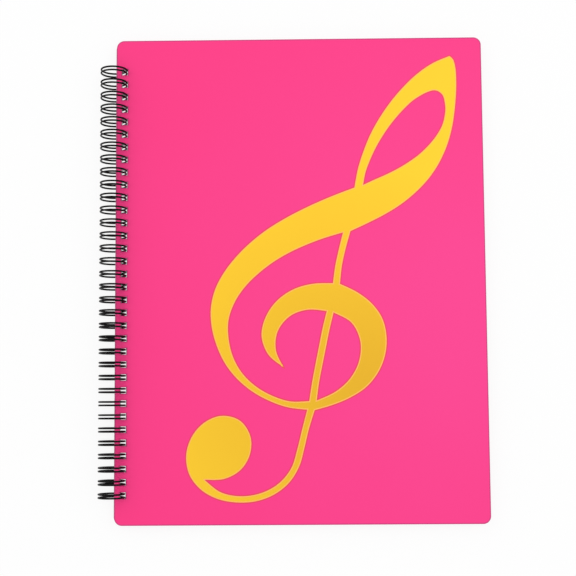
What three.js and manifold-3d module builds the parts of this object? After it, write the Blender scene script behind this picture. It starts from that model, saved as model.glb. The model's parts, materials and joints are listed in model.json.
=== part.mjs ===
// Music folder: two plastic covers and a block of clear pockets on a twin-loop wire binding.
// Units are millimetres. X runs across the folder with the spine at -X, Y runs along the spine and Z is up.
import * as THREE from "three";
import { mergeVertices } from "three/addons/utils/BufferGeometryUtils.js";
import Module from "manifold-3d";

const wasm = await Module();
wasm.setup();

// Covers
const coverWidth = 243;
const coverHeight = 320;
const coverThickness = 0.8;
const coverCorner = 5;

// Page block
const endOverhang = 4; // the covers reach this much past the pockets at the top and the bottom
const widthOverhang = 6; // the pockets are this much narrower than the covers
const pageWidth = coverWidth - widthOverhang;
const pageHeight = coverHeight - 2 * endOverhang;
const pageCorner = 2;
const pageStack = 5.9; // thickness of all the pockets away from the spine

// Foil figure on the front cover
const foilThickness = 0.1;
const foilMargin = 13.5; // from the covers' top and bottom edges to the figure's, on average

// Punched holes
const holeSize = 4.1;
const holeMargin = 3.5; // from a sheet's spine edge to its holes
const loopPitch = 25.4 / 3;
const rowMargin = 14; // the first and last holes' middles lie at least this far from the pockets' ends
const rowShift = -1; // the whole row lies a little nearer the bottom
const loopCount = Math.floor((pageHeight - 2 * rowMargin) / loopPitch) + 1;

// Binding wire
const ringRadius = 8.4; // to the middle of the wire
const wireDiameter = 1.1;
const wireSpacing = 2.2; // between the two wires of one loop
const wireLean = 0.03; // the loops lean this much along the spine for each unit of height
const baseBend = 1; // radius of the bend from the seam into a loop
const seamAngle = -80; // degrees from +X, below the back cover's edge strip
const seamGap = 0.8; // from the loops' closed ends to the seam

// Places of the sheets on the ring
const backRise = 2.6; // the back cover climbs this much to pass over the wire
const riseStart = 14; // from the back cover's spine edge to where it starts to come down
const riseLength = 52;
const leafGap = 0.1; // between the covers and the pockets
const wireClearance = 0.3; // between the wire and the edges of the holes it touches in use

// Fineness of the curves
const coverCornerSteps = 6;
const pageCornerSteps = 3;
const riseSteps = 8;
const foilSteps = 5;
const wireSides = 5;
const legSteps = 12;
const bendSteps = 2;
const closedEndSteps = 3;
const cutMargin = 1; // solids that are cut from each other stand out this much where no face is wanted
const weldDistance = 1e-4;

// Heights, from the table up
const backBottom = 0;
const pageBottom = backBottom + coverThickness + leafGap;
const pageTop = pageBottom + pageStack;
const frontBottom = pageTop + leafGap;
const frontTop = frontBottom + coverThickness;
const axisHeight = ringRadius + wireDiameter / 2;

// How far the ring reaches to the right of its middle, for a circle of the given radius at one height
const reach = (radius, height) => Math.sqrt(radius ** 2 - (height - axisHeight) ** 2);
const outerRadius = ringRadius + wireDiameter / 2 + wireClearance;
const innerRadius = ringRadius - wireDiameter / 2 - wireClearance;

// The wire lies at the far end of the upper holes, and under the edge strip of the back cover
const frontEdge = reach(outerRadius, frontTop) - holeSize - holeMargin;
const pageEdge = reach(outerRadius, pageTop) - holeSize - holeMargin;
const backEdge = reach(innerRadius, backBottom + backRise) - holeMargin;

// The folder's middle lies at x = 0
const axisX = (ringRadius + wireDiameter / 2 - frontEdge - coverWidth) / 2;
const frontLeft = axisX + frontEdge;
const pageLeft = axisX + pageEdge;
const backLeft = axisX + backEdge;
const backRight = backLeft + coverWidth;
const firstLoopY = rowShift + ((loopCount - 1) * loopPitch) / 2;

const loopY = (index) => firstLoopY - index * loopPitch;

// A path that goes round a rectangle with rounded corners.
function roundedRectangle(path, left, right, bottom, top, radius) {
  path.moveTo(left + radius, bottom);
  path.lineTo(right - radius, bottom);
  path.absarc(right - radius, bottom + radius, radius, -Math.PI / 2, 0);
  path.lineTo(right, top - radius);
  path.absarc(right - radius, top - radius, radius, 0, Math.PI / 2);
  path.lineTo(left + radius, top);
  path.absarc(left + radius, top - radius, radius, Math.PI / 2, Math.PI);
  path.lineTo(left, bottom + radius);
  path.absarc(left + radius, bottom + radius, radius, Math.PI, 1.5 * Math.PI);
  return path;
}

// The plan of a sheet: its outline and one square hole for each loop of the wire.
function sheetShape(left, width, height, corner) {
  const right = left + width;
  const holeLeft = left + holeMargin;
  const holeRight = holeLeft + holeSize;
  const shape = roundedRectangle(new THREE.Shape(), left, right, -height / 2, height / 2, corner);
  for (let i = 0; i < loopCount; i++) {
    const low = loopY(i) - holeSize / 2;
    const high = loopY(i) + holeSize / 2;
    const hole = new THREE.Path();
    hole.moveTo(holeLeft, low);
    hole.lineTo(holeLeft, high);
    hole.lineTo(holeRight, high);
    hole.lineTo(holeRight, low);
    shape.holes.push(hole);
  }
  return shape;
}

function flatPlate(shape, bottom, thickness, curveSegments) {
  const geometry = new THREE.ExtrudeGeometry(shape, { depth: thickness, bevelEnabled: false, curveSegments });
  return geometry.translate(0, 0, bottom);
}

// A section drawn in X and Z, drawn out along Y over the given length.
function profileBar(shape, length) {
  const settings = { depth: length, bevelEnabled: false, curveSegments: riseSteps };
  const geometry = new THREE.ExtrudeGeometry(shape, settings);
  return geometry.rotateX(Math.PI / 2).translate(0, length / 2, 0);
}

function toSolid(geometry) {
  const bare = geometry.clone();
  bare.deleteAttribute("normal");
  bare.deleteAttribute("uv");
  const merged = mergeVertices(bare, weldDistance);
  return new wasm.Manifold(
    new wasm.Mesh({
      numProp: 3,
      vertProperties: merged.attributes.position.array,
      triVerts: new Uint32Array(merged.index.array),
    }),
  );
}

function fromSolid(solid) {
  const mesh = solid.getMesh();
  const geometry = new THREE.BufferGeometry();
  geometry.setAttribute("position", new THREE.BufferAttribute(mesh.vertProperties, 3));
  geometry.setIndex(new THREE.BufferAttribute(mesh.triVerts, 1));
  geometry.computeVertexNormals();
  return geometry;
}

// Traces the height line of the back cover from one side to the other, lifted by the given amount.
function riseLine(shape, from, to, lift) {
  const flatEnd = backLeft + riseStart;
  const slopeEnd = flatEnd + riseLength;
  const low = backBottom + lift;
  const high = low + backRise;
  const middle = (flatEnd + slopeEnd) / 2;
  if (from < to) {
    shape.lineTo(flatEnd, high);
    shape.bezierCurveTo(middle, high, middle, low, slopeEnd, low);
    shape.lineTo(to, low);
  } else {
    shape.lineTo(slopeEnd, low);
    shape.bezierCurveTo(middle, low, middle, high, flatEnd, high);
    shape.lineTo(to, high);
  }
}

function frontCover() {
  const shape = sheetShape(frontLeft, coverWidth, coverHeight, coverCorner);
  return flatPlate(shape, frontBottom, coverThickness, coverCornerSteps);
}

function backCover() {
  const plan = sheetShape(backLeft, coverWidth, coverHeight, coverCorner);
  const section = new THREE.Shape();
  section.moveTo(backLeft, backBottom + backRise);
  riseLine(section, backLeft, backRight, 0);
  section.lineTo(backRight, backBottom + coverThickness);
  riseLine(section, backRight, backLeft, coverThickness);
  const tallHeight = backRise + coverThickness + 2 * cutMargin;
  const tall = flatPlate(plan, backBottom - cutMargin, tallHeight, coverCornerSteps);
  return fromSolid(toSolid(tall).intersect(toSolid(profileBar(section, coverHeight + 2 * cutMargin))));
}

function pageBlock() {
  const right = pageLeft + pageWidth;
  const plan = sheetShape(pageLeft, pageWidth, pageHeight, pageCorner);
  const lift = coverThickness + leafGap;
  const section = new THREE.Shape();
  section.moveTo(pageLeft, backBottom + backRise + lift);
  riseLine(section, pageLeft, right, lift);
  section.lineTo(right, pageTop);
  section.lineTo(pageLeft, pageTop);
  const tall = flatPlate(plan, pageBottom - cutMargin, pageStack + 2 * cutMargin, pageCornerSteps);
  return fromSolid(toSolid(tall).intersect(toSolid(profileBar(section, pageHeight + 2 * cutMargin))));
}

// The wire's middle line, first drawn flat: u runs round the ring from the seam and y runs along the spine.
class LoopLine extends THREE.Curve {
  constructor() {
    super();
    this.topU = 2 * Math.PI * ringRadius - seamGap;
    this.stretches = [
      { steps: bendSteps, at: (t) => this.bend(1 - t, 1) },
      { steps: legSteps, at: (t) => [baseBend + t * this.legLength(), wireSpacing / 2] },
      { steps: closedEndSteps, at: (t) => this.closedEnd(t) },
      { steps: legSteps, at: (t) => [baseBend + (1 - t) * this.legLength(), -wireSpacing / 2] },
      { steps: bendSteps, at: (t) => this.bend(t, -1) },
      { steps: 1, at: (t) => [0, -wireSpacing / 2 - baseBend - t * this.seamLength()] },
    ];
    this.loopSteps = this.stretches.reduce((sum, stretch) => sum + stretch.steps, 0);
    this.steps = this.loopSteps * loopCount - 1;
  }
  legLength() {
    return this.topU - wireSpacing / 2 - baseBend;
  }
  seamLength() {
    return loopPitch - wireSpacing - 2 * baseBend;
  }
  bend(t, side) {
    const turn = (t * Math.PI) / 2;
    const along = wireSpacing / 2 + baseBend * (1 - Math.cos(turn));
    return [baseBend * (1 - Math.sin(turn)), side * along];
  }
  closedEnd(t) {
    const turn = t * Math.PI;
    const half = wireSpacing / 2;
    return [this.topU - half + half * Math.sin(turn), half * Math.cos(turn)];
  }
  getPoint(t, target = new THREE.Vector3()) {
    const place = t * this.steps;
    const loop = Math.floor(place / this.loopSteps);
    let left = place - loop * this.loopSteps;
    let stretch = this.stretches[0];
    for (const next of this.stretches) {
      stretch = next;
      if (left <= next.steps) break;
      left -= next.steps;
    }
    const [u, y] = stretch.at(left / stretch.steps);
    const angle = THREE.MathUtils.degToRad(seamAngle) - u / ringRadius;
    const height = ringRadius * Math.sin(angle);
    const along = loopY(loop) + y + wireLean * height;
    return target.set(axisX + ringRadius * Math.cos(angle), along, axisHeight + height);
  }
  getPointAt(t, target) {
    return this.getPoint(t, target);
  }
  getTangentAt(t, target) {
    return this.getTangent(t, target);
  }
}

function bindingWire() {
  const section = new THREE.Shape();
  for (let i = 0; i < wireSides; i++) {
    const turn = (i / wireSides) * 2 * Math.PI;
    const x = (wireDiameter / 2) * Math.cos(turn);
    const y = (wireDiameter / 2) * Math.sin(turn);
    if (i === 0) section.moveTo(x, y);
    else section.lineTo(x, y);
  }
  section.closePath();
  const line = new LoopLine();
  return new THREE.ExtrudeGeometry(section, { steps: line.steps, bevelEnabled: false, extrudePath: line });
}

// Treble clef in foil. Its points are measured from the middle of the front cover, and scaled with the cover.
// Each stretch is a smooth curve, and neighbouring stretches meet in a corner or a smooth join.
const clefOutline = [
  [[100.5, 147.5], [89.2, 142.7], [78.7, 135.5], [69.4, 126.7], [61.1, 117.1], [53.8, 106.7], [47.5, 95.7],
    [42.5, 83.9], [38.6, 71.9], [36.1, 59.4]],
  [[24.2, 55], [12.3, 50.1], [0.6, 44.7], [-10.8, 38.7], [-21.8, 31.9], [-32, 24], [-41.3, 15],
    [-49.4, 4.9], [-55.7, -6.5], [-58.8, -19.1], [-58.3, -32], [-55, -44.4], [-49.6, -55.9],
    [-41.9, -65.8], [-32.1, -74.1], [-21, -80.3], [-9, -84.6], [3.7, -86.3]],
  [[0.3, -99], [-2.9, -111.6], [-7, -123.9], [-15.4, -133.7], [-26.9, -139.6], [-39.8, -141.4],
    [-52.5, -138.8], [-62.9, -130.9]],
  [[-50.5, -130.5], [-39.9, -125], [-33.6, -115.1], [-33.1, -103.2], [-39.9, -92.9], [-51.9, -89.7],
    [-63.4, -94.2], [-71.5, -103.5], [-75, -115.4], [-72.8, -127.7], [-65, -137.5], [-54.2, -143.3],
    [-42.1, -145.5], [-29.8, -144.8], [-18.2, -140.7], [-8.3, -133.1], [-1.6, -122.6], [1.9, -110.6],
    [4.9, -98.5], [8.7, -86.6]],
  [[20.6, -83.2], [32, -78.5], [42.4, -71.8], [50.3, -62.2], [54.9, -51], [56, -39.1], [53.4, -27.2],
    [46.6, -17.3], [37.1, -9.8], [26, -4.3]],
  [[27.4, 7.5], [30, 19], [33.3, 30.4]],
  [[44.8, 35.7], [56.1, 41.4], [66.8, 48], [76.6, 55.9], [85.3, 65], [92.3, 75.3], [97.6, 86.6],
    [101.2, 98.6], [103.3, 111], [104.5, 123.5], [104.7, 131.5], [104.4, 138.7], [103.1, 144.6],
    [100.5, 147.5]],
];
const clefEye = [
  [[42, 61.2], [49.7, 64.7], [57.5, 68.1], [65.1, 71.9], [72.4, 76.3], [79.3, 81.3], [85.5, 87.2],
    [90.9, 93.8], [95, 101.2], [96.9, 109.4], [96.8, 115.5], [95.3, 121.1], [90.8, 124.1], [84.8, 122.8],
    [76.6, 118.1], [70.3, 112.5], [64.5, 106.2], [59.2, 99.5], [54.5, 92.5], [50.3, 85.2], [46.7, 77.5], [43.7, 69.5],
    [42, 61.2]],
];
const clefLeftSpace = [
  [[28.2, 29.5], [16.5, 26.1], [5, 21.9], [-6.2, 16.9], [-16.9, 10.8], [-26.9, 3.3], [-35.8, -5.3],
    [-42.9, -15.6], [-47.1, -27.4], [-47.1, -39.8], [-44.2, -51.8], [-38.2, -62.4], [-29.4, -70.9],
    [-18.8, -77], [-7.2, -80.7], [5.1, -80.6]],
  [[7, -68.8], [9.3, -57.1], [11.7, -45.5], [14.1, -33.8], [17, -22.2]],
  [[4.8, -21.2], [-6.9, -25.3], [-15, -35.2], [-16.2, -47.7], [-11.2, -58.8]],
  [[-21.3, -50.4], [-25.7, -38], [-22.7, -25.2], [-15.1, -14.7], [-4.3, -7.5], [8.2, -4.1], [21.3, -3.8]],
  [[22.9, 7.4], [25.4, 18.5], [28.2, 29.5]],
];
const clefRightSpace = [
  [[21.6, -23.2], [33.1, -29.8], [38.7, -41.8], [37.8, -54.8], [31.8, -66.2], [22.1, -74.7],
    [10.1, -80.2]],
  [[11.7, -68.7], [14, -57.3], [16.4, -45.9], [18.8, -34.5], [21.6, -23.2]],
];

const clefHeights = clefOutline.flat().map(([, y]) => y);
const clefDrawnHeight = Math.max(...clefHeights) - Math.min(...clefHeights);
const clefScale = (coverHeight - 2 * foilMargin) / clefDrawnHeight;

function tracePath(path, stretches, middle) {
  stretches.forEach((stretch, index) => {
    const points = stretch.map(([x, y]) => new THREE.Vector2(middle + x * clefScale, y * clefScale));
    if (index === 0) path.moveTo(points[0].x, points[0].y);
    const rest = index === 0 ? points.slice(1) : points;
    if (rest.length === 1) path.lineTo(rest[0].x, rest[0].y);
    else path.splineThru(rest);
  });
  return path;
}

function clefFoil() {
  const middle = frontLeft + coverWidth / 2;
  const shape = tracePath(new THREE.Shape(), clefOutline, middle);
  for (const space of [clefEye, clefLeftSpace, clefRightSpace])
    shape.holes.push(tracePath(new THREE.Path(), space, middle));
  return flatPlate(shape, frontTop, foilThickness, foilSteps);
}

const coverPlastic = new THREE.MeshStandardMaterial({ color: 0xff4891, roughness: 0.5, metalness: 0 });
const pocketFilm = new THREE.MeshStandardMaterial({ color: 0xf6f6f4, roughness: 0.35, metalness: 0 });
const blackWire = new THREE.MeshStandardMaterial({ color: 0x101010, roughness: 0.3, metalness: 0.2 });
const goldFoil = new THREE.MeshStandardMaterial({ color: 0xf5c93c, roughness: 0.4, metalness: 0.6 });

const folder = new THREE.Group();
function addPiece(name, geometry, material) {
  const mesh = new THREE.Mesh(geometry, material);
  mesh.name = name;
  folder.add(mesh);
}
addPiece("back_cover", backCover(), coverPlastic);
addPiece("binding_wire", bindingWire(), blackWire);
addPiece("page_block", pageBlock(), pocketFilm);
addPiece("front_cover", frontCover(), coverPlastic);
addPiece("clef_foil", clefFoil(), goldFoil);

export default folder;
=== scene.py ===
import json
import math
import random

import bmesh
import bpy
from mathutils import Matrix, Vector


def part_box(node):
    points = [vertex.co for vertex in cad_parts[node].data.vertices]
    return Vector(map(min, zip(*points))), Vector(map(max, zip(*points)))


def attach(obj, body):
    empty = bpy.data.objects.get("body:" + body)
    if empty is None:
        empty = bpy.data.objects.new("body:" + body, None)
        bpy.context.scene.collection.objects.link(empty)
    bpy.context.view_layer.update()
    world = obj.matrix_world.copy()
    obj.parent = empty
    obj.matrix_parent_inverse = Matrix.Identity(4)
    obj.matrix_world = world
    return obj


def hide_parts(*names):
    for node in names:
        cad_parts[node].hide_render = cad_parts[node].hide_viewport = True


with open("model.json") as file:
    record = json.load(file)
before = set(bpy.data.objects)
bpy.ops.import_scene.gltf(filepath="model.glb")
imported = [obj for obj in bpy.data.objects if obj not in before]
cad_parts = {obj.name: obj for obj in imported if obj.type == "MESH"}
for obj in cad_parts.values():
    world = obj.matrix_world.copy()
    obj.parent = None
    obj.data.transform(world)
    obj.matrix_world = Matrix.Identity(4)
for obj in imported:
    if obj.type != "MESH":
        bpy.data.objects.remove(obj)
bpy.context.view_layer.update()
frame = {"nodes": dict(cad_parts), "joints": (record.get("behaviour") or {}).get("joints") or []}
mm = 0.001

# Places shared by the pieces, read from the frame where it knows them
coverLow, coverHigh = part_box("front_cover")
backLow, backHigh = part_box("back_cover")
pageLow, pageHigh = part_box("page_block")
ringMiddle = Vector(frame["joints"][0]["pos_m"])

# The row of punched holes, which every sheet shares
holeRow = {
    "size": 4.1 * mm,
    "margin": 3.5 * mm,  # from a sheet's spine edge
    "pitch": 25.4 / 3 * mm,
    "count": 34,
    "first": 138.7 * mm,  # the topmost hole
}

# How the back cover and the lower pockets climb over the wire
spineRise = {"height": 2.6 * mm, "start": 14 * mm, "length": 52 * mm, "steps": 10}

# Limits that sort vertices, faces and edges while the shapes are cut and joined
limits = {
    "weld": 1e-6,
    "samePlace": 1e-5,
    "level": 0.9,  # a face whose normal has at least this much Z lies level
    "standing": 0.5,  # and one with less than this stands
    "cornerTurn": 1,  # radians between the faces at a hole's corner
    "rimTurn": 1.2,  # and at a sheet's rim
    "sharpAngle": 35,  # degrees
}


def holeY(index):
    return holeRow["first"] - index * holeRow["pitch"]


def besideHole(y):
    return any(abs(y - holeY(i)) < holeRow["size"] / 2 for i in range(holeRow["count"]))


def riseAt(x):
    t = (x - backLow[0] - spineRise["start"]) / spineRise["length"]
    t = min(max(t, 0.0), 1.0)
    return spineRise["height"] * (1 - t * t * (3 - 2 * t))


def riseCuts():
    start = backLow[0] + spineRise["start"]
    steps = spineRise["steps"]
    return [start + spineRise["length"] * i / steps for i in range(steps + 1)]


# Small helpers for the meshes

def newPiece(name, bm, sharpAngle=limits["sharpAngle"]):
    mesh = bpy.data.meshes.new(name)
    bm.to_mesh(mesh)
    bm.free()
    mesh.shade_smooth()
    mesh.set_sharp_from_angle(angle=math.radians(sharpAngle))
    piece = bpy.data.objects.new(name, mesh)
    bpy.context.scene.collection.objects.link(piece)
    return piece


def paintFace(face, layer, colour):
    for loop in face.loops:
        loop[layer] = colour


# Draws faces out along Z to make them a closed plate
def drawOut(bm, faces, height):
    drawn = bmesh.ops.extrude_face_region(bm, geom=faces, use_keep_orig=True)
    verts = [item for item in drawn["geom"] if isinstance(item, bmesh.types.BMVert)]
    bmesh.ops.translate(bm, verts=verts, vec=(0, 0, height))


def roundOff(bm, items, offset, steps, kind):
    bmesh.ops.bevel(bm, geom=items, offset=offset, segments=steps, profile=0.5, affect=kind, material=-1)


# Small helpers for the materials

def addNode(tree, kind, place, **values):
    node = tree.nodes.new(kind)
    node.location = place
    for key, value in values.items():
        setattr(node, key, value)
    return node


def newMaterial(name):
    material = bpy.data.materials.new(name)
    material.use_nodes = True
    tree = material.node_tree
    tree.nodes.clear()
    output = addNode(tree, "ShaderNodeOutputMaterial", (900, 0))
    shader = addNode(tree, "ShaderNodeBsdfPrincipled", (600, 0))
    tree.links.new(shader.outputs["BSDF"], output.inputs["Surface"])
    coords = addNode(tree, "ShaderNodeTexCoord", (-1000, 0))
    return material, tree, shader, coords


def newGroup(name, vectors, floats, result):
    group = bpy.data.node_groups.new(name, "ShaderNodeTree")
    for label in vectors:
        group.interface.new_socket(label, in_out="INPUT", socket_type="NodeSocketVector")
    for label in floats:
        group.interface.new_socket(label, in_out="INPUT", socket_type="NodeSocketFloat")
    group.interface.new_socket(result, in_out="OUTPUT", socket_type="NodeSocketFloat")
    return group


# Places a group in a material, on the object's own coordinates
def placeGroup(tree, group, place, coords, values):
    node = addNode(tree, "ShaderNodeGroup", place, node_tree=group)
    for key, value in values.items():
        node.inputs[key].default_value = value
    tree.links.new(coords.outputs["Object"], node.inputs["Coords"])
    return node


# Fine grain: a dense small noise with a softer one over it
grainLook = {
    "fineDetail": 3,
    "fineRoughness": 0.65,
    "coarseShare": 0.23,  # the softer noise's scale for each unit of the small one's
    "coarseDetail": 2,
}


def makeGrainGroup():
    group = newGroup("fineGrain", ["Coords"], ["Grains per metre", "Softness"], "Grain")
    start = addNode(group, "NodeGroupInput", (-700, 0))
    end = addNode(group, "NodeGroupOutput", (500, 0))
    fine = addNode(group, "ShaderNodeTexNoise", (-400, 150))
    fine.inputs["Detail"].default_value = grainLook["fineDetail"]
    fine.inputs["Roughness"].default_value = grainLook["fineRoughness"]
    coarseScale = addNode(group, "ShaderNodeMath", (-500, -250), operation="MULTIPLY")
    coarseScale.inputs[1].default_value = grainLook["coarseShare"]
    coarse = addNode(group, "ShaderNodeTexNoise", (-250, -150))
    coarse.inputs["Detail"].default_value = grainLook["coarseDetail"]
    blend = addNode(group, "ShaderNodeMix", (200, 0), data_type="FLOAT")
    link = group.links.new
    link(start.outputs["Coords"], fine.inputs["Vector"])
    link(start.outputs["Grains per metre"], fine.inputs["Scale"])
    link(start.outputs["Grains per metre"], coarseScale.inputs[0])
    link(start.outputs["Coords"], coarse.inputs["Vector"])
    link(coarseScale.outputs[0], coarse.inputs["Scale"])
    link(start.outputs["Softness"], blend.inputs["Factor"])
    link(fine.outputs["Fac"], blend.inputs["A"])
    link(coarse.outputs["Fac"], blend.inputs["B"])
    link(blend.outputs["Result"], end.inputs["Grain"])
    return group


# Slow change of tone across a sheet: painted light that changes with the distance from one place,
# standing in for a broad sheen or reflection, with broad clouds of random tone over it
toneLook = {"cloudScale": 14, "cloudDetail": 2, "cloudMiddle": 0.5}


def makeLightAndCloudsGroup():
    group = newGroup("paintedLightAndClouds", ["Coords", "Place"], ["Near", "Far", "Clouds"], "Tone")
    start = addNode(group, "NodeGroupInput", (-800, 0))
    end = addNode(group, "NodeGroupOutput", (600, 0))
    along = addNode(group, "ShaderNodeVectorMath", (-500, 150), operation="DISTANCE")
    paintedLightFalloff = addNode(group, "ShaderNodeMapRange", (-250, 150))
    cloud = addNode(group, "ShaderNodeTexNoise", (-500, -150))
    cloud.inputs["Scale"].default_value = toneLook["cloudScale"]
    cloud.inputs["Detail"].default_value = toneLook["cloudDetail"]
    lift = addNode(group, "ShaderNodeMath", (-250, -150), operation="SUBTRACT")
    lift.inputs[1].default_value = toneLook["cloudMiddle"]
    spread = addNode(group, "ShaderNodeMath", (0, -150), operation="MULTIPLY")
    total = addNode(group, "ShaderNodeMath", (300, 0), operation="ADD", use_clamp=True)
    link = group.links.new
    link(start.outputs["Coords"], along.inputs[0])
    link(start.outputs["Place"], along.inputs[1])
    link(along.outputs["Value"], paintedLightFalloff.inputs["Value"])
    link(start.outputs["Far"], paintedLightFalloff.inputs["From Min"])
    link(start.outputs["Near"], paintedLightFalloff.inputs["From Max"])
    link(start.outputs["Coords"], cloud.inputs["Vector"])
    link(cloud.outputs["Fac"], lift.inputs[0])
    link(lift.outputs[0], spread.inputs[0])
    link(start.outputs["Clouds"], spread.inputs[1])
    link(paintedLightFalloff.outputs["Result"], total.inputs[0])
    link(spread.outputs[0], total.inputs[1])
    link(total.outputs[0], end.inputs["Tone"])
    return group


grainGroup = makeGrainGroup()
lightAndCloudsGroup = makeLightAndCloudsGroup()


def addBump(tree, shader, height, look):
    bump = addNode(tree, "ShaderNodeBump", (350, -350))
    bump.inputs["Strength"].default_value = look["bump"]
    bump.inputs["Distance"].default_value = look["bumpDepth"]
    tree.links.new(height, bump.inputs["Height"])
    tree.links.new(bump.outputs["Normal"], shader.inputs["Normal"])


def mixColours(tree, place, factor, first, second):
    mix = addNode(tree, "ShaderNodeMix", place, data_type="RGBA")
    tree.links.new(factor, mix.inputs["Factor"])
    for socket, value in (("A", first), ("B", second)):
        slot = [s for s in mix.inputs if s.name == socket and s.type == "RGBA"][0]
        if hasattr(value, "links"):
            tree.links.new(value, slot)
        else:
            slot.default_value = (*value, 1)
    return [s for s in mix.outputs if s.type == "RGBA"][0]


def varyRoughness(tree, shader, source, low, high):
    spread = addNode(tree, "ShaderNodeMapRange", (300, -100))
    spread.inputs["To Min"].default_value = low
    spread.inputs["To Max"].default_value = high
    tree.links.new(source, spread.inputs["Value"])
    tree.links.new(spread.outputs["Result"], shader.inputs["Roughness"])


# Cover sheets: pink polypropylene, satin, with a very fine grain, a painted sheen and a painted shade
# along the cut edges
coverLook = {
    "pink": (0.92, 0.031, 0.215),
    # the paler pink is a painted sheen, laid on nearest the tone's place
    "paintedSheenPink": (0.91, 0.043, 0.265),
    # painted shade along the cut edges and over the sides
    "paintedEdgeShade": (0.52, 0.042, 0.18),
    "specular": 0.3,
    "grain": {"Grains per metre": 2600, "Softness": 0.35},
    # the painted sheen is palest at this place and fades out by Far, under random clouds of tone
    "paintedLightAndTone": {"Place": (0.11, -0.02, 0), "Near": 0.03, "Far": 0.26, "Clouds": 0.25},
    "roughness": (0.42, 0.55),
    "bump": 0.10,
    "bumpDepth": 0.1 * mm,
    "rim": 0.8 * mm,  # width of the painted shade along the cut edges
    # how strong the painted edge shade is, along the outline and round the holes
    "edgeShadeStrength": 0.8,
    "holeEdgeShadeStrength": 0.3,
    "bevel": 0.15 * mm,
    "bevelSteps": 2,
    "corner": 5 * mm,
    "cornerSteps": 8,
    "holeCorner": 0.5 * mm,
    "holeCornerSteps": 3,
}


def makeCoverMaterial():
    material, tree, shader, coords = newMaterial("coverPlastic")
    grain = placeGroup(tree, grainGroup, (-700, -300), coords, coverLook["grain"])
    paintedLightAndTone = placeGroup(tree, lightAndCloudsGroup, (-700, 200), coords, coverLook["paintedLightAndTone"])
    # the attribute lays the painted shade along the cut edges
    edge = addNode(tree, "ShaderNodeAttribute", (-400, 400), attribute_name="paintedEdgeShade")
    # the tone mixes in the painted sheen
    pinkAndPaintedSheen = coverLook["pink"], coverLook["paintedSheenPink"]
    body = mixColours(tree, (-300, 150), paintedLightAndTone.outputs["Tone"], *pinkAndPaintedSheen)
    full = mixColours(tree, (100, 150), edge.outputs["Fac"], body, coverLook["paintedEdgeShade"])
    tree.links.new(full, shader.inputs["Base Color"])
    shader.inputs["Specular IOR Level"].default_value = coverLook["specular"]
    varyRoughness(tree, shader, grain.outputs["Grain"], *coverLook["roughness"])
    addBump(tree, shader, grain.outputs["Grain"], coverLook)
    return material


# The plan of a sheet: rounded corners, one square hole for each loop, cut lines across for the rise
def sheetPlan(left, width, height, corner, cornerSteps, riseLines):
    bm = bmesh.new()
    right, low, high = left + width, -height / 2, height / 2
    places = (left, low), (right, low), (right, high), (left, high)
    corners = [bm.verts.new((x, y, 0)) for x, y in places]
    bm.faces.new(corners)
    roundOff(bm, corners, corner, cornerSteps, "VERTICES")
    holeLeft = left + holeRow["margin"]
    holeRight = holeLeft + holeRow["size"]

    def cutAcross(place, normal):
        everything = bm.verts[:] + bm.edges[:] + bm.faces[:]
        bmesh.ops.bisect_plane(bm, geom=everything, plane_co=place, plane_no=normal)

    for x in [holeLeft, holeRight] + riseLines:
        cutAcross((x, 0, 0), (1, 0, 0))
    for i in range(holeRow["count"]):
        for side in (-0.5, 0.5):
            cutAcross((0, holeY(i) + side * holeRow["size"], 0), (0, 1, 0))
    inside = []
    for face in bm.faces:
        middle = face.calc_center_median()
        if holeLeft < middle.x < holeRight and besideHole(middle.y):
            inside.append(face)
    bmesh.ops.delete(bm, geom=inside, context="FACES")
    return bm


# The painted shade along a flat cover's cut edges, fainter round the holes
def paintEdgeShade(bm, paintedLightAndTone, holeLeft, holeRight):
    width = coverLook["rim"]
    edgeShadeBand = bmesh.ops.inset_region(
        bm, faces=bm.faces[:], thickness=width, use_even_offset=True, use_boundary=True
    )
    for face in edgeShadeBand["faces"]:
        middle = face.calc_center_median()
        inRow = holeLeft - width < middle.x < holeRight + width
        byHole = inRow and abs(middle.y) < holeRow["first"] + holeRow["pitch"]
        share = coverLook["holeEdgeShadeStrength"] if byHole else coverLook["edgeShadeStrength"]
        paintFace(face, paintedLightAndTone, (share, share, share, 1))


# One cover: painted with its edge shade while flat, drawn up to its thickness, rounded at the rims and
# bent to its rise
def makeCover(name, low, high, thickness, riseLines):
    corner, cornerSteps = coverLook["corner"], coverLook["cornerSteps"]
    bm = sheetPlan(low[0], high[0] - low[0], high[1] - low[1], corner, cornerSteps, riseLines)
    paintedLightAndTone = bm.loops.layers.float_color.new("paintedEdgeShade")
    for face in bm.faces:
        paintFace(face, paintedLightAndTone, (0, 0, 0, 1))
    holeLeft = low[0] + holeRow["margin"]
    holeRight = holeLeft + holeRow["size"]
    paintEdgeShade(bm, paintedLightAndTone, holeLeft, holeRight)
    drawOut(bm, bm.faces[:], thickness)
    bmesh.ops.recalc_face_normals(bm, faces=bm.faces[:])
    # the standing sides take the full painted shade
    for face in bm.faces:
        if abs(face.normal.z) < limits["standing"]:
            paintFace(face, paintedLightAndTone, (1, 1, 1, 1))

    def climb(edge):
        first, last = edge.verts
        return abs(first.co.z - last.co.z)

    def atHole(edge):
        x = edge.verts[0].co.x
        return min(abs(x - holeLeft), abs(x - holeRight)) < limits["samePlace"]

    upright = [edge for edge in bm.edges if climb(edge) > thickness / 2 and atHole(edge)]
    corners = [edge for edge in upright if edge.calc_face_angle(0) > limits["cornerTurn"]]
    roundOff(bm, corners, coverLook["holeCorner"], coverLook["holeCornerSteps"], "EDGES")
    bm.normal_update()
    flat = [edge for edge in bm.edges if climb(edge) < thickness / 4]
    rims = [edge for edge in flat if edge.calc_face_angle(0) > limits["rimTurn"]]
    roundOff(bm, rims, coverLook["bevel"], coverLook["bevelSteps"], "EDGES")
    for vert in bm.verts:
        vert.co.z += low[2] + (riseAt(vert.co.x) if riseLines else 0)
    return newPiece(name, bm)


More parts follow.
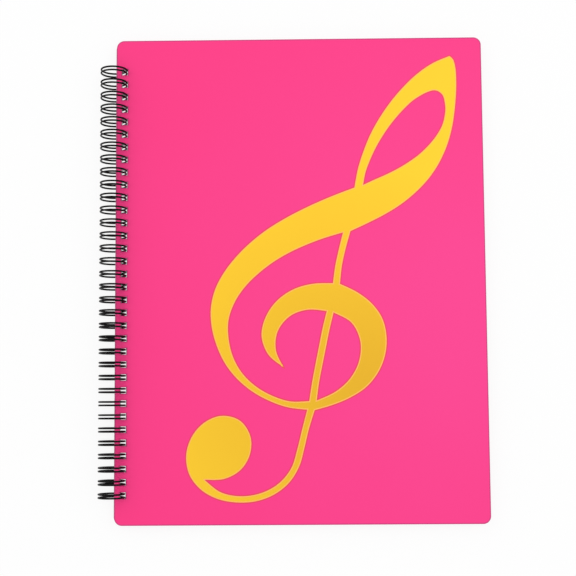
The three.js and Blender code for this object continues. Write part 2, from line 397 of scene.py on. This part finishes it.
coverThickness = coverHigh[2] - coverLow[2]
coverMaterial = makeCoverMaterial()
frontCover = makeCover("frontCover", coverLow, coverHigh, coverThickness, [])
backCover = makeCover("backCover", backLow, backHigh, coverThickness, riseCuts())
for piece, node, body in ((frontCover, "front_cover", "front"), (backCover, "back_cover", "back")):
    piece.data.materials.append(coverMaterial)
    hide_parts(node)
    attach(piece, body)
print("covers made", len(frontCover.data.polygons), len(backCover.data.polygons))

# Foil clef: the frame's own figure with a pressed rim round it, coloured with painted reflection, shadow
# and highlight

# Marks for the rim's painted light, red for its painted shadow line and green for its painted highlight
plainTone = (0, 0, 0, 1)
paintedShadowMark = (1, 0, 0, 1)
paintedHighlightMark = (0, 1, 0, 1)

foilLook = {
    # a painted reflection: lit gold at the top, shaded gold towards the lower right
    "top": (0.90, 0.555, 0.022),
    "low": (0.70, 0.38, 0.016),
    # painted shadow along the pressed rim
    "rim": (0.74, 0.060, 0.10),
    # painted highlight on the pressed rim
    "paintedHighlight": (0.95, 0.46, 0.13),
    "rimOutside": 0.7 * mm,
    "rims": (  # each strip's width and its tones at the outer and inner edge
        (0.65 * mm, paintedShadowMark, paintedShadowMark),
        (0.3 * mm, paintedShadowMark, paintedHighlightMark),
        (0.25 * mm, paintedHighlightMark, paintedHighlightMark),
        (0.5 * mm, paintedHighlightMark, plainTone),
    ),
    "rimStep": 0.02 * mm,  # how far the rim climbs inwards, to stand this much above the field
    "rimDepth": 0.95,  # the rim's thickness, as a share of the foil's
    "tightestBend": 0.6,  # cosine of half the sharpest bend round which the rim keeps its full width
    "grain": {"Grains per metre": 3800, "Softness": 0.3},
    # the painted reflection darkens towards this place, under random clouds of tone
    "paintedLightAndTone": {"Place": (0.06, -0.08, 0), "Near": 0, "Far": 0.15, "Clouds": 0.2},
    "roughness": (0.34, 0.5),
    "metallic": 0.45,
    "specular": 0.3,
    "bump": 0.12,
    "bumpDepth": 0.1 * mm,
}


def makeFoilMaterial():
    material, tree, shader, coords = newMaterial("goldFoil")
    grain = placeGroup(tree, grainGroup, (-700, -300), coords, foilLook["grain"])
    paintedLightAndTone = placeGroup(tree, lightAndCloudsGroup, (-700, 200), coords, foilLook["paintedLightAndTone"])
    rimLightMarks = addNode(tree, "ShaderNodeAttribute", (-400, 400), attribute_name="paintedRimLight")
    split = addNode(tree, "ShaderNodeSeparateColor", (-200, 400))
    tree.links.new(rimLightMarks.outputs["Color"], split.inputs["Color"])
    # the gold darkens towards the tone's place as a painted reflection
    paintedReflectionGolds = foilLook["top"], foilLook["low"]
    body = mixColours(tree, (-300, 150), paintedLightAndTone.outputs["Tone"], *paintedReflectionGolds)
    # then the rim's painted highlight and painted shadow
    paintedHighlight = mixColours(tree, (0, 150), split.outputs["Green"], body, foilLook["paintedHighlight"])
    full = mixColours(tree, (250, 150), split.outputs["Red"], paintedHighlight, foilLook["rim"])
    tree.links.new(full, shader.inputs["Base Color"])
    shader.inputs["Metallic"].default_value = foilLook["metallic"]
    shader.inputs["Specular IOR Level"].default_value = foilLook["specular"]
    varyRoughness(tree, shader, grain.outputs["Grain"], *foilLook["roughness"])
    addBump(tree, shader, grain.outputs["Grain"], foilLook)
    return material


# The figure's outlines as rows of corners, walked with the figure on the left
def outlineRows(bm):
    following = {}
    for edge in bm.edges:
        if edge.is_boundary:
            loop = edge.link_loops[0]
            following[loop.vert] = loop.link_loop_next.vert
    rows = []
    while following:
        corner = next(iter(following))
        row = []
        while corner in following:
            row.append(corner.co.copy())
            corner = following.pop(corner)
        rows.append(row)
    return rows


# The direction into the figure at each corner of a row, longer at bends to keep the rim's width
def inwardSteps(row):
    steps = []
    for i, corner in enumerate(row):
        before = (corner - row[i - 1]).normalized()
        after = (row[(i + 1) % len(row)] - corner).normalized()
        first, last = (Vector((-along.y, along.x, 0)) for along in (before, after))
        middle = (first + last).normalized()
        steps.append(middle / max(middle.dot(first), foilLook["tightestBend"]))
    return steps


# Strips along the outlines, climbing from a little outside the figure inwards; folded bits are left out
def addRim(bm, rimLightMarks):
    rim = []
    climb = foilLook["rimStep"] / sum(width for width, outerTone, innerTone in foilLook["rims"])

    def drawRow(row, steps, reach):
        rise = climb * (reach + foilLook["rimOutside"]) - foilLook["rimStep"]
        height = Vector((0, 0, rise))
        return [bm.verts.new(corner + step * reach + height) for corner, step in zip(row, steps)]

    for row in outlineRows(bm):
        steps = inwardSteps(row)
        reach = -foilLook["rimOutside"]
        outer = drawRow(row, steps, reach)
        for width, outerTone, innerTone in foilLook["rims"]:
            reach += width
            inner = drawRow(row, steps, reach)
            for i in range(len(row)):
                j = (i + 1) % len(row)
                face = bm.faces.new((outer[i], outer[j], inner[j], inner[i]))
                face.normal_update()
                if face.normal.z < limits["level"]:
                    bm.faces.remove(face)
                    continue
                rim.append(face)
                # each strip carries its painted shadow and highlight marks
                for loop, paintedLightAndTone in zip(face.loops, (outerTone, outerTone, innerTone, innerTone)):
                    loop[rimLightMarks] = paintedLightAndTone
            outer = inner
    return rim


def makeFoil():
    low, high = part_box("clef_foil")
    thickness = high[2] - low[2]
    bm = bmesh.new()
    bm.from_mesh(frame["nodes"]["clef_foil"].data)
    bmesh.ops.remove_doubles(bm, verts=bm.verts[:], dist=limits["weld"])
    bm.normal_update()
    hidden = [face for face in bm.faces if face.normal.z < limits["level"]]
    bmesh.ops.delete(bm, geom=hidden, context="FACES")
    loose = [vert for vert in bm.verts if not vert.link_faces]
    bmesh.ops.delete(bm, geom=loose, context="VERTS")
    rimLightMarks = bm.loops.layers.float_color.new("paintedRimLight")
    for face in bm.faces:
        paintFace(face, rimLightMarks, plainTone)
    field = bm.faces[:]
    rim = addRim(bm, rimLightMarks)
    inset = foilLook["rimStep"]
    fieldVerts = list({vert for face in field for vert in face.verts})
    bmesh.ops.translate(bm, verts=fieldVerts, vec=(0, 0, -inset))
    drawOut(bm, field, inset - thickness)
    drawOut(bm, rim, -thickness * foilLook["rimDepth"])
    bmesh.ops.recalc_face_normals(bm, faces=bm.faces[:])
    return newPiece("clefFoil", bm)


clefFoil = makeFoil()
clefFoil.data.materials.append(makeFoilMaterial())
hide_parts("clef_foil")
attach(clefFoil, "front")
print("foil made", len(clefFoil.data.polygons))

# Clear pockets with white slip sheets: thin leaves, film only along the spine
pocketLook = {
    "leaves": 28,
    "fill": 0.62,  # how much of a leaf's share of the stack is solid
    "corner": 2 * mm,
    "cornerSteps": 3,
    "uneven": 0.35 * mm,  # how far a leaf's open edges stand back at most
    "edgeZone": 5 * mm,  # what lies this near an open edge stands back with it
    "paper": (0.81, 0.81, 0.80),
    # the film strip's white: partly its own, partly painted light that lifts the shade seen in the holes
    "filmAndPaintedLight": (0.90, 0.91, 0.91),
    "strip": 12.5 * mm,  # width of the film strip along the spine
    "paperFade": 0.4 * mm,
    "seam": 0.9 * mm,
    "seamRibs": 260,
    "grain": {"Grains per metre": 60, "Softness": 0.8},
    "rippleShare": 0.5,
    "bump": 0.2,
    "bumpDepth": 0.2 * mm,
    "roughness": (0.22, 0.34),
    "coat": 0.4,
    "coatRoughness": 0.08,
    "seed": 7,
}


# The weld between film and paper: ribs that fade out on both sides of the seam
def addWeld(tree, coords, across, seamX):
    away = addNode(tree, "ShaderNodeMath", (-550, 50), operation="SUBTRACT")
    away.inputs[1].default_value = seamX
    tree.links.new(across, away.inputs[0])
    distance = addNode(tree, "ShaderNodeMath", (-380, 50), operation="ABSOLUTE")
    tree.links.new(away.outputs[0], distance.inputs[0])
    seam = addNode(tree, "ShaderNodeMapRange", (-200, 50))
    seam.inputs["From Min"].default_value = pocketLook["seam"]
    seam.inputs["From Max"].default_value = 0
    tree.links.new(distance.outputs[0], seam.inputs["Value"])
    ribs = addNode(tree, "ShaderNodeTexWave", (-550, -200), bands_direction="Y")
    ribs.inputs["Scale"].default_value = pocketLook["seamRibs"]
    tree.links.new(coords.outputs["Object"], ribs.inputs["Vector"])
    weld = addNode(tree, "ShaderNodeMath", (0, -100), operation="MULTIPLY")
    tree.links.new(seam.outputs["Result"], weld.inputs[0])
    tree.links.new(ribs.outputs["Fac"], weld.inputs[1])
    return weld.outputs[0]


def makePocketMaterial():
    material, tree, shader, coords = newMaterial("pocketFilm")
    split = addNode(tree, "ShaderNodeSeparateXYZ", (-800, 250))
    tree.links.new(coords.outputs["Object"], split.inputs["Vector"])
    seamX = pageLow[0] + pocketLook["strip"]
    inside = addNode(tree, "ShaderNodeMapRange", (-550, 300))
    inside.inputs["From Min"].default_value = seamX
    inside.inputs["From Max"].default_value = seamX + pocketLook["paperFade"]
    tree.links.new(split.outputs["X"], inside.inputs["Value"])
    weld = addWeld(tree, coords, split.outputs["X"], seamX)
    grain = placeGroup(tree, grainGroup, (-550, -450), coords, pocketLook["grain"])
    tones = pocketLook["filmAndPaintedLight"], pocketLook["paper"]
    body = mixColours(tree, (-150, 350), inside.outputs["Result"], *tones)
    tree.links.new(body, shader.inputs["Base Color"])
    varyRoughness(tree, shader, grain.outputs["Grain"], *pocketLook["roughness"])
    ripple = addNode(tree, "ShaderNodeMath", (150, -250), operation="MULTIPLY_ADD")
    ripple.inputs[1].default_value = pocketLook["rippleShare"]
    tree.links.new(grain.outputs["Grain"], ripple.inputs[0])
    tree.links.new(weld, ripple.inputs[2])
    addBump(tree, shader, ripple.outputs[0], pocketLook)
    shader.inputs["Coat Weight"].default_value = pocketLook["coat"]
    shader.inputs["Coat Roughness"].default_value = pocketLook["coatRoughness"]
    return material


# One leaf between level 0 and 1, which every pocket repeats
def makeLeafPlan():
    width = pageHigh[0] - pageLow[0]
    height = pageHigh[1] - pageLow[1]
    corner, cornerSteps = pocketLook["corner"], pocketLook["cornerSteps"]
    plan = sheetPlan(pageLow[0], width, height, corner, cornerSteps, riseCuts())
    drawOut(plan, plan.faces[:], 1)
    bmesh.ops.recalc_face_normals(plan, faces=plan.faces[:])
    leaf = bpy.data.meshes.new("leafPlan")
    plan.to_mesh(leaf)
    plan.free()
    return leaf


def makePockets():
    random.seed(pocketLook["seed"])
    leaf = makeLeafPlan()
    bm = bmesh.new()
    count, fill, zone = pocketLook["leaves"], pocketLook["fill"], pocketLook["edgeZone"]
    for i in range(count):
        begun = len(bm.verts)
        bm.from_mesh(leaf)
        bm.verts.ensure_lookup_table()
        back = [random.uniform(0, pocketLook["uneven"]) for side in range(3)]
        for vert in bm.verts[begun:]:
            x, y, level = vert.co
            floor = pageLow[2] + riseAt(x)
            share = (pageHigh[2] - floor) / count
            z = floor + share * (i + (1 - fill) / 2 + level * fill)
            if i == count - 1 and level > 0.5:
                z = pageHigh[2]
            if x > pageHigh[0] - zone:
                x -= back[0]
            if y > pageHigh[1] - zone:
                y -= back[1]
            if y < pageLow[1] + zone:
                y += back[2]
            vert.co = (x, y, z)
    bpy.data.meshes.remove(leaf)
    return newPiece("pocketLeaves", bm)


pocketLeaves = makePockets()
pocketLeaves.data.materials.append(makePocketMaterial())
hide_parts("page_block")
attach(pocketLeaves, "pages")
print("pockets made", len(pocketLeaves.data.polygons))

# Twin loop wire: drawn flat as a row of hairpins, then rolled round the ring
wireLook = {
    "ring": 8.35 * mm,  # radius to the middle of the wire
    "diameter": 1.2 * mm,
    "roundness": 3,
    "sharpAngle": 50,
    "spacing": 2.2 * mm,
    "lean": 0.03,  # along the spine for each unit of height
    "bend": 1 * mm,
    "seamAngle": -80,
    "seamGap": 0.8 * mm,
    "legSteps": 40,
    "bendSteps": 6,
    "endSteps": 10,
    "black": (0.002, 0.002, 0.002),
    "dust": (0.006, 0.005, 0.005),
    "grain": {"Grains per metre": 900, "Softness": 0.5},
    "roughness": (0.22, 0.36),
    "bump": 0.08,
    "bumpDepth": 0.1 * mm,
    "specular": 0.06,
}


# One loop laid flat, as places round the ring from the seam and places along the spine
def hairpin():
    half = wireLook["spacing"] / 2
    bend = wireLook["bend"]
    legTop = 2 * math.pi * wireLook["ring"] - wireLook["seamGap"] - half
    points = []
    for i in range(wireLook["bendSteps"]):
        turn = math.pi / 2 * (1 - i / wireLook["bendSteps"])
        points.append((bend * (1 - math.sin(turn)), half + bend * (1 - math.cos(turn))))
    for i in range(wireLook["legSteps"]):
        points.append((bend + (legTop - bend) * i / wireLook["legSteps"], half))
    for i in range(wireLook["endSteps"] + 1):
        turn = math.pi * i / wireLook["endSteps"]
        points.append((legTop + half * math.sin(turn), half * math.cos(turn)))
    mirrored = [(u, -y) for u, y in reversed(points)]
    return points + mirrored[wireLook["endSteps"] + 1:]


def wirePath():
    radius = wireLook["ring"]
    pin = hairpin()
    path = []
    for i in range(holeRow["count"]):
        for u, y in pin:
            angle = math.radians(wireLook["seamAngle"]) - u / radius
            height = radius * math.sin(angle)
            along = holeY(i) + y + wireLook["lean"] * height
            path.append((ringMiddle.x + radius * math.cos(angle), along, ringMiddle.z + height))
    return path


def makeWire():
    curve = bpy.data.curves.new("wirePath", "CURVE")
    curve.dimensions = "3D"
    curve.bevel_depth = wireLook["diameter"] / 2
    curve.bevel_resolution = wireLook["roundness"]
    curve.use_fill_caps = True
    spline = curve.splines.new("POLY")
    path = wirePath()
    spline.points.add(len(path) - 1)
    for point, place in zip(spline.points, path):
        point.co = (*place, 1)
    rope = bpy.data.objects.new("wirePath", curve)
    bpy.context.scene.collection.objects.link(rope)
    bpy.context.view_layer.update()
    drawn = rope.evaluated_get(bpy.context.evaluated_depsgraph_get())
    mesh = bpy.data.meshes.new_from_object(drawn)
    bpy.data.objects.remove(rope)
    bm = bmesh.new()
    bm.from_mesh(mesh)
    bmesh.ops.remove_doubles(bm, verts=bm.verts[:], dist=limits["weld"])
    bmesh.ops.recalc_face_normals(bm, faces=bm.faces[:])
    bpy.data.meshes.remove(mesh)
    return newPiece("bindingLoops", bm, wireLook["sharpAngle"])


def makeWireMaterial():
    material, tree, shader, coords = newMaterial("wireCoating")
    grain = placeGroup(tree, grainGroup, (-700, -200), coords, wireLook["grain"])
    blacks = wireLook["black"], wireLook["dust"]
    body = mixColours(tree, (-200, 150), grain.outputs["Grain"], *blacks)
    tree.links.new(body, shader.inputs["Base Color"])
    varyRoughness(tree, shader, grain.outputs["Grain"], *wireLook["roughness"])
    addBump(tree, shader, grain.outputs["Grain"], wireLook)
    shader.inputs["Specular IOR Level"].default_value = wireLook["specular"]
    return material


bindingLoops = makeWire()
bindingLoops.data.materials.append(makeWireMaterial())
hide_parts("binding_wire")
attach(bindingLoops, "back")
print("wire made", len(bindingLoops.data.polygons))

# White floor that keeps the folder's shadow
stageLook = {
    "floorSize": 4,
    "floorDrop": 0.2 * mm,
    "floorColour": (0.9, 0.9, 0.9),
    "whiteShare": 0.86,
    "worldLight": 0.86,
    "keyPower": 4.3,
    "keySize": 1.4,
    "keyPlace": (0.75, 0.3, 1.2),
    "fillPower": 2.8,
    "fillSize": 1.4,
    "fillPlace": (-0.9, 0.6, 1.1),
}


# One for the rays that see the stage itself, and zero for those that only light the folder
def seenDirectly(tree, place):
    rays = addNode(tree, "ShaderNodeLightPath", place)
    both = addNode(tree, "ShaderNodeMath", (place[0] + 200, place[1]), operation="MAXIMUM")
    every = addNode(tree, "ShaderNodeMath", (place[0] + 400, place[1]), operation="MAXIMUM")
    tree.links.new(rays.outputs["Is Camera Ray"], both.inputs[0])
    tree.links.new(rays.outputs["Is Glossy Ray"], both.inputs[1])
    tree.links.new(both.outputs[0], every.inputs[0])
    tree.links.new(rays.outputs["Is Transmission Ray"], every.inputs[1])
    return every.outputs[0]


# Ends a stage tree in a mix of two shaders
def mixShaders(tree, outputKind, factor, first, second):
    output = addNode(tree, outputKind, (600, 0))
    mix = addNode(tree, "ShaderNodeMixShader", (300, 0))
    tree.links.new(factor, mix.inputs["Fac"])
    tree.links.new(first.outputs[0], mix.inputs[1])
    tree.links.new(second.outputs[0], mix.inputs[2])
    tree.links.new(mix.outputs[0], output.inputs["Surface"])


def makeFloor():
    bm = bmesh.new()
    bmesh.ops.create_grid(bm, x_segments=1, y_segments=1, size=stageLook["floorSize"] / 2)
    bmesh.ops.translate(bm, verts=bm.verts[:], vec=(0, 0, -stageLook["floorDrop"]))
    floor = newPiece("floor", bm)
    material = bpy.data.materials.new("whiteFloor")
    material.use_nodes = True
    tree = material.node_tree
    tree.nodes.clear()
    paint = addNode(tree, "ShaderNodeBsdfDiffuse", (0, 100))
    paint.inputs["Color"].default_value = (*stageLook["floorColour"], 1)
    glow = addNode(tree, "ShaderNodeEmission", (0, -100))
    share = addNode(tree, "ShaderNodeMath", (0, 300), operation="MULTIPLY")
    share.inputs[1].default_value = stageLook["whiteShare"]
    tree.links.new(seenDirectly(tree, (-600, 300)), share.inputs[0])
    mixShaders(tree, "ShaderNodeOutputMaterial", share.outputs[0], paint, glow)
    floor.data.materials.append(material)


def makeWorld():
    world = bpy.data.worlds.new("plainStudio")
    world.use_nodes = True
    bpy.context.scene.world = world
    tree = world.node_tree
    tree.nodes.clear()
    soft = addNode(tree, "ShaderNodeBackground", (0, 100))
    soft.inputs["Strength"].default_value = stageLook["worldLight"]
    plain = addNode(tree, "ShaderNodeBackground", (0, -100))
    for background in (soft, plain):
        background.inputs["Color"].default_value = (1, 1, 1, 1)
    mixShaders(tree, "ShaderNodeOutputWorld", seenDirectly(tree, (-600, 300)), soft, plain)


def addPanel(name, power, size, place):
    lamp = bpy.data.lights.new(name, "AREA")
    lamp.energy = power
    lamp.size = size
    holder = bpy.data.objects.new(name, lamp)
    holder.location = place
    holder.rotation_euler = Vector(place).to_track_quat("Z", "Y").to_euler()
    bpy.context.scene.collection.objects.link(holder)


makeFloor()
makeWorld()
addPanel("keyPanel", stageLook["keyPower"], stageLook["keySize"], stageLook["keyPlace"])
addPanel("fillPanel", stageLook["fillPower"], stageLook["fillSize"], stageLook["fillPlace"])
print("stage made")

# The photograph's view: almost straight down on the front cover
cameraView = {
    "place": (5.5 * mm, -64.36 * mm, 708.9 * mm),
    "pitch": -0.0819,
    "yaw": -0.0119,
    "roll": 0.008,
    "lens": 67.07,
    "sensor": 36,
    "nearest": 0.01,
    "farthest": 20,
}


def makeCamera():
    data = bpy.data.cameras.new("photoView")
    data.lens = cameraView["lens"]
    data.sensor_width = cameraView["sensor"]
    data.sensor_fit = "HORIZONTAL"
    data.clip_start = cameraView["nearest"]
    data.clip_end = cameraView["farthest"]
    camera = bpy.data.objects.new("photoView", data)
    turn = (
        Matrix.Rotation(cameraView["roll"], 3, "Z")
        @ Matrix.Rotation(cameraView["yaw"], 3, "Y")
        @ Matrix.Rotation(cameraView["pitch"], 3, "X")
    )
    camera.matrix_world = Matrix.Translation(cameraView["place"]) @ turn.transposed().to_4x4()
    bpy.context.scene.collection.objects.link(camera)
    bpy.context.scene.camera = camera


makeCamera()
bpy.context.scene.view_settings.view_transform = "Standard"
print("camera made")
